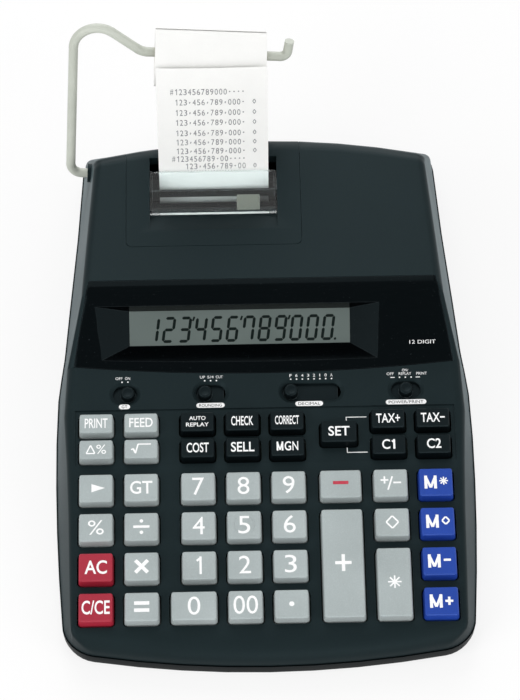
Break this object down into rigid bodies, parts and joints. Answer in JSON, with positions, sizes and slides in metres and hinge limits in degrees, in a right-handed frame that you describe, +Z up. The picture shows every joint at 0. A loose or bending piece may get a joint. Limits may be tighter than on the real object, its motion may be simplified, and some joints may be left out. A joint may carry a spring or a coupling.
{
  "type": "printing calculator",
  "caption": "Desktop printing calculator with a tilted key deck, slide switches, a hooded sloping display, a printer under a lift-off cover and a paper roll on a bent wire holder.",
  "frame": {"origin": "on the table under the middle of the housing, at the bottom of the feet", "axes": "+X to the user's right, +Y from the user to the back, +Z up"},
  "size_m": [0.2164, 0.3294, 0.1487],
  "materials": {
    "lower_case": "fine texture",
    "case": "fine texture",
    "display_gloss": "polished",
    "clear_window": "clear acrylic",
    "grey_keys": "satin",
    "black_keys": "satin",
    "red_keys": "satin",
    "blue_keys": "satin",
    "inner_frame": "plain",
    "platen_rubber": "ground",
    "carriage": "plain",
    "paper": "thin printed paper",
    "holder_wire": "light grey paint",
    "foot_rubber": "matte"
  },
  "bodies": {
    "housing": {"base_shell": "lower_case", "top_shell": "case", "display_unit": "display_gloss", "inner_chassis": "inner_frame", "paper_strip": "paper", "paper_holder": "holder_wire", "feet": "foot_rubber"},
    "printer_cover": {"printer_cover": "case", "tear_window": "clear_window"},
    "platen_roller": {"platen_roller": "platen_rubber"},
    "print_carriage": {"print_carriage": "carriage"},
    "paper_roll": {"paper_roll": "paper"},
    "key_print": {"key_print": "grey_keys"},
    "key_feed": {"key_feed": "grey_keys"},
    "key_replay": {"key_replay": "black_keys"},
    "key_check": {"key_check": "black_keys"},
    "key_correct": {"key_correct": "black_keys"},
    "key_set": {"key_set": "black_keys"},
    "key_tax_plus": {"key_tax_plus": "black_keys"},
    "key_tax_minus": {"key_tax_minus": "black_keys"},
    "key_delta_percent": {"key_delta_percent": "grey_keys"},
    "key_root": {"key_root": "grey_keys"},
    "key_cost": {"key_cost": "black_keys"},
    "key_sell": {"key_sell": "black_keys"},
    "key_margin": {"key_margin": "black_keys"},
    "key_rate_1": {"key_rate_1": "black_keys"},
    "key_rate_2": {"key_rate_2": "black_keys"},
    "key_backspace": {"key_backspace": "grey_keys"},
    "key_grand_total": {"key_grand_total": "grey_keys"},
    "key_7": {"key_7": "grey_keys"},
    "key_8": {"key_8": "grey_keys"},
    "key_9": {"key_9": "grey_keys"},
    "key_minus": {"key_minus": "grey_keys"},
    "key_sign": {"key_sign": "grey_keys"},
    "key_memory_total": {"key_memory_total": "blue_keys"},
    "key_percent": {"key_percent": "grey_keys"},
    "key_divide": {"key_divide": "grey_keys"},
    "key_4": {"key_4": "grey_keys"},
    "key_5": {"key_5": "grey_keys"},
    "key_6": {"key_6": "grey_keys"},
    "key_plus": {"key_plus": "grey_keys"},
    "key_subtotal": {"key_subtotal": "grey_keys"},
    "key_memory_subtotal": {"key_memory_subtotal": "blue_keys"},
    "key_all_clear": {"key_all_clear": "red_keys"},
    "key_multiply": {"key_multiply": "grey_keys"},
    "key_1": {"key_1": "grey_keys"},
    "key_2": {"key_2": "grey_keys"},
    "key_3": {"key_3": "grey_keys"},
    "key_total": {"key_total": "grey_keys"},
    "key_memory_minus": {"key_memory_minus": "blue_keys"},
    "key_clear": {"key_clear": "red_keys"},
    "key_equals": {"key_equals": "grey_keys"},
    "key_0": {"key_0": "grey_keys"},
    "key_00": {"key_00": "grey_keys"},
    "key_point": {"key_point": "grey_keys"},
    "key_memory_plus": {"key_memory_plus": "blue_keys"},
    "switch_grand_total": {"switch_grand_total": "black_keys"},
    "switch_rounding": {"switch_rounding": "black_keys"},
    "switch_decimal": {"switch_decimal": "black_keys"},
    "switch_power": {"switch_power": "black_keys"}
  },
  "joints": [
    {"name": "key_print_press", "type": "slide", "parent": "housing", "child": "key_print", "axis": [0, 0.1392, -0.9903], "range_m": [0, 0.003], "stiffness_N_per_m": 250},
    {"name": "key_feed_press", "type": "slide", "parent": "housing", "child": "key_feed", "axis": [0, 0.1392, -0.9903], "range_m": [0, 0.003], "stiffness_N_per_m": 250},
    {"name": "key_replay_press", "type": "slide", "parent": "housing", "child": "key_replay", "axis": [0, 0.1392, -0.9903], "range_m": [0, 0.003], "stiffness_N_per_m": 250},
    {"name": "key_check_press", "type": "slide", "parent": "housing", "child": "key_check", "axis": [0, 0.1392, -0.9903], "range_m": [0, 0.003], "stiffness_N_per_m": 250},
    {"name": "key_correct_press", "type": "slide", "parent": "housing", "child": "key_correct", "axis": [0, 0.1392, -0.9903], "range_m": [0, 0.003], "stiffness_N_per_m": 250},
    {"name": "key_set_press", "type": "slide", "parent": "housing", "child": "key_set", "axis": [0, 0.1392, -0.9903], "range_m": [0, 0.003], "stiffness_N_per_m": 250},
    {"name": "key_tax_plus_press", "type": "slide", "parent": "housing", "child": "key_tax_plus", "axis": [0, 0.1392, -0.9903], "range_m": [0, 0.003], "stiffness_N_per_m": 250},
    {"name": "key_tax_minus_press", "type": "slide", "parent": "housing", "child": "key_tax_minus", "axis": [0, 0.1392, -0.9903], "range_m": [0, 0.003], "stiffness_N_per_m": 250},
    {"name": "key_delta_percent_press", "type": "slide", "parent": "housing", "child": "key_delta_percent", "axis": [0, 0.1392, -0.9903], "range_m": [0, 0.003], "stiffness_N_per_m": 250},
    {"name": "key_root_press", "type": "slide", "parent": "housing", "child": "key_root", "axis": [0, 0.1392, -0.9903], "range_m": [0, 0.003], "stiffness_N_per_m": 250},
    {"name": "key_cost_press", "type": "slide", "parent": "housing", "child": "key_cost", "axis": [0, 0.1392, -0.9903], "range_m": [0, 0.003], "stiffness_N_per_m": 250},
    {"name": "key_sell_press", "type": "slide", "parent": "housing", "child": "key_sell", "axis": [0, 0.1392, -0.9903], "range_m": [0, 0.003], "stiffness_N_per_m": 250},
    {"name": "key_margin_press", "type": "slide", "parent": "housing", "child": "key_margin", "axis": [0, 0.1392, -0.9903], "range_m": [0, 0.003], "stiffness_N_per_m": 250},
    {"name": "key_rate_1_press", "type": "slide", "parent": "housing", "child": "key_rate_1", "axis": [0, 0.1392, -0.9903], "range_m": [0, 0.003], "stiffness_N_per_m": 250},
    {"name": "key_rate_2_press", "type": "slide", "parent": "housing", "child": "key_rate_2", "axis": [0, 0.1392, -0.9903], "range_m": [0, 0.003], "stiffness_N_per_m": 250},
    {"name": "key_backspace_press", "type": "slide", "parent": "housing", "child": "key_backspace", "axis": [0, 0.1392, -0.9903], "range_m": [0, 0.003], "stiffness_N_per_m": 250},
    {"name": "key_grand_total_press", "type": "slide", "parent": "housing", "child": "key_grand_total", "axis": [0, 0.1392, -0.9903], "range_m": [0, 0.003], "stiffness_N_per_m": 250},
    {"name": "key_7_press", "type": "slide", "parent": "housing", "child": "key_7", "axis": [0, 0.1392, -0.9903], "range_m": [0, 0.003], "stiffness_N_per_m": 250},
    {"name": "key_8_press", "type": "slide", "parent": "housing", "child": "key_8", "axis": [0, 0.1392, -0.9903], "range_m": [0, 0.003], "stiffness_N_per_m": 250},
    {"name": "key_9_press", "type": "slide", "parent": "housing", "child": "key_9", "axis": [0, 0.1392, -0.9903], "range_m": [0, 0.003], "stiffness_N_per_m": 250},
    {"name": "key_minus_press", "type": "slide", "parent": "housing", "child": "key_minus", "axis": [0, 0.1392, -0.9903], "range_m": [0, 0.003], "stiffness_N_per_m": 250},
    {"name": "key_sign_press", "type": "slide", "parent": "housing", "child": "key_sign", "axis": [0, 0.1392, -0.9903], "range_m": [0, 0.003], "stiffness_N_per_m": 250},
    {"name": "key_memory_total_press", "type": "slide", "parent": "housing", "child": "key_memory_total", "axis": [0, 0.1392, -0.9903], "range_m": [0, 0.003], "stiffness_N_per_m": 250},
    {"name": "key_percent_press", "type": "slide", "parent": "housing", "child": "key_percent", "axis": [0, 0.1392, -0.9903], "range_m": [0, 0.003], "stiffness_N_per_m": 250},
    {"name": "key_divide_press", "type": "slide", "parent": "housing", "child": "key_divide", "axis": [0, 0.1392, -0.9903], "range_m": [0, 0.003], "stiffness_N_per_m": 250},
    {"name": "key_4_press", "type": "slide", "parent": "housing", "child": "key_4", "axis": [0, 0.1392, -0.9903], "range_m": [0, 0.003], "stiffness_N_per_m": 250},
    {"name": "key_5_press", "type": "slide", "parent": "housing", "child": "key_5", "axis": [0, 0.1392, -0.9903], "range_m": [0, 0.003], "stiffness_N_per_m": 250},
    {"name": "key_6_press", "type": "slide", "parent": "housing", "child": "key_6", "axis": [0, 0.1392, -0.9903], "range_m": [0, 0.003], "stiffness_N_per_m": 250},
    {"name": "key_plus_press", "type": "slide", "parent": "housing", "child": "key_plus", "axis": [0, 0.1392, -0.9903], "range_m": [0, 0.003], "stiffness_N_per_m": 250},
    {"name": "key_subtotal_press", "type": "slide", "parent": "housing", "child": "key_subtotal", "axis": [0, 0.1392, -0.9903], "range_m": [0, 0.003], "stiffness_N_per_m": 250},
    {"name": "key_memory_subtotal_press", "type": "slide", "parent": "housing", "child": "key_memory_subtotal", "axis": [0, 0.1392, -0.9903], "range_m": [0, 0.003], "stiffness_N_per_m": 250},
    {"name": "key_all_clear_press", "type": "slide", "parent": "housing", "child": "key_all_clear", "axis": [0, 0.1392, -0.9903], "range_m": [0, 0.003], "stiffness_N_per_m": 250},
    {"name": "key_multiply_press", "type": "slide", "parent": "housing", "child": "key_multiply", "axis": [0, 0.1392, -0.9903], "range_m": [0, 0.003], "stiffness_N_per_m": 250},
    {"name": "key_1_press", "type": "slide", "parent": "housing", "child": "key_1", "axis": [0, 0.1392, -0.9903], "range_m": [0, 0.003], "stiffness_N_per_m": 250},
    {"name": "key_2_press", "type": "slide", "parent": "housing", "child": "key_2", "axis": [0, 0.1392, -0.9903], "range_m": [0, 0.003], "stiffness_N_per_m": 250},
    {"name": "key_3_press", "type": "slide", "parent": "housing", "child": "key_3", "axis": [0, 0.1392, -0.9903], "range_m": [0, 0.003], "stiffness_N_per_m": 250},
    {"name": "key_total_press", "type": "slide", "parent": "housing", "child": "key_total", "axis": [0, 0.1392, -0.9903], "range_m": [0, 0.003], "stiffness_N_per_m": 250},
    {"name": "key_memory_minus_press", "type": "slide", "parent": "housing", "child": "key_memory_minus", "axis": [0, 0.1392, -0.9903], "range_m": [0, 0.003], "stiffness_N_per_m": 250},
    {"name": "key_clear_press", "type": "slide", "parent": "housing", "child": "key_clear", "axis": [0, 0.1392, -0.9903], "range_m": [0, 0.003], "stiffness_N_per_m": 250},
    {"name": "key_equals_press", "type": "slide", "parent": "housing", "child": "key_equals", "axis": [0, 0.1392, -0.9903], "range_m": [0, 0.003], "stiffness_N_per_m": 250},
    {"name": "key_0_press", "type": "slide", "parent": "housing", "child": "key_0", "axis": [0, 0.1392, -0.9903], "range_m": [0, 0.003], "stiffness_N_per_m": 250},
    {"name": "key_00_press", "type": "slide", "parent": "housing", "child": "key_00", "axis": [0, 0.1392, -0.9903], "range_m": [0, 0.003], "stiffness_N_per_m": 250},
    {"name": "key_point_press", "type": "slide", "parent": "housing", "child": "key_point", "axis": [0, 0.1392, -0.9903], "range_m": [0, 0.003], "stiffness_N_per_m": 250},
    {"name": "key_memory_plus_press", "type": "slide", "parent": "housing", "child": "key_memory_plus", "axis": [0, 0.1392, -0.9903], "range_m": [0, 0.003], "stiffness_N_per_m": 250},
    {"name": "switch_grand_total_slide", "type": "slide", "parent": "housing", "child": "switch_grand_total", "axis": [1, 0, 0], "range_m": [-0.003, 0]},
    {"name": "switch_rounding_slide", "type": "slide", "parent": "housing", "child": "switch_rounding", "axis": [1, 0, 0], "range_m": [0, 0.006]},
    {"name": "switch_decimal_slide", "type": "slide", "parent": "housing", "child": "switch_decimal", "axis": [1, 0, 0], "range_m": [0, 0.021]},
    {"name": "switch_power_slide", "type": "slide", "parent": "housing", "child": "switch_power", "axis": [1, 0, 0], "range_m": [-0.003, 0.003]},
    {"name": "roll_turn", "type": "hinge", "parent": "housing", "child": "paper_roll", "pos_m": [-0.02483, 0.13066, 0.12636], "axis": [0.998, -0.0163, -0.0607], "continuous": true},
    {"name": "platen_turn", "type": "hinge", "parent": "housing", "child": "platen_roller", "pos_m": [-0.0245, 0.10011, 0.0547], "axis": [1, 0, 0], "continuous": true},
    {"name": "carriage_slide", "type": "slide", "parent": "housing", "child": "print_carriage", "axis": [1, 0, 0], "range_m": [-0.042, 0]},
    {"name": "cover_lift", "type": "slide", "parent": "housing", "child": "printer_cover", "axis": [0, 0.2419, 0.9703], "range_m": [0, 0.015]}
  ]
}
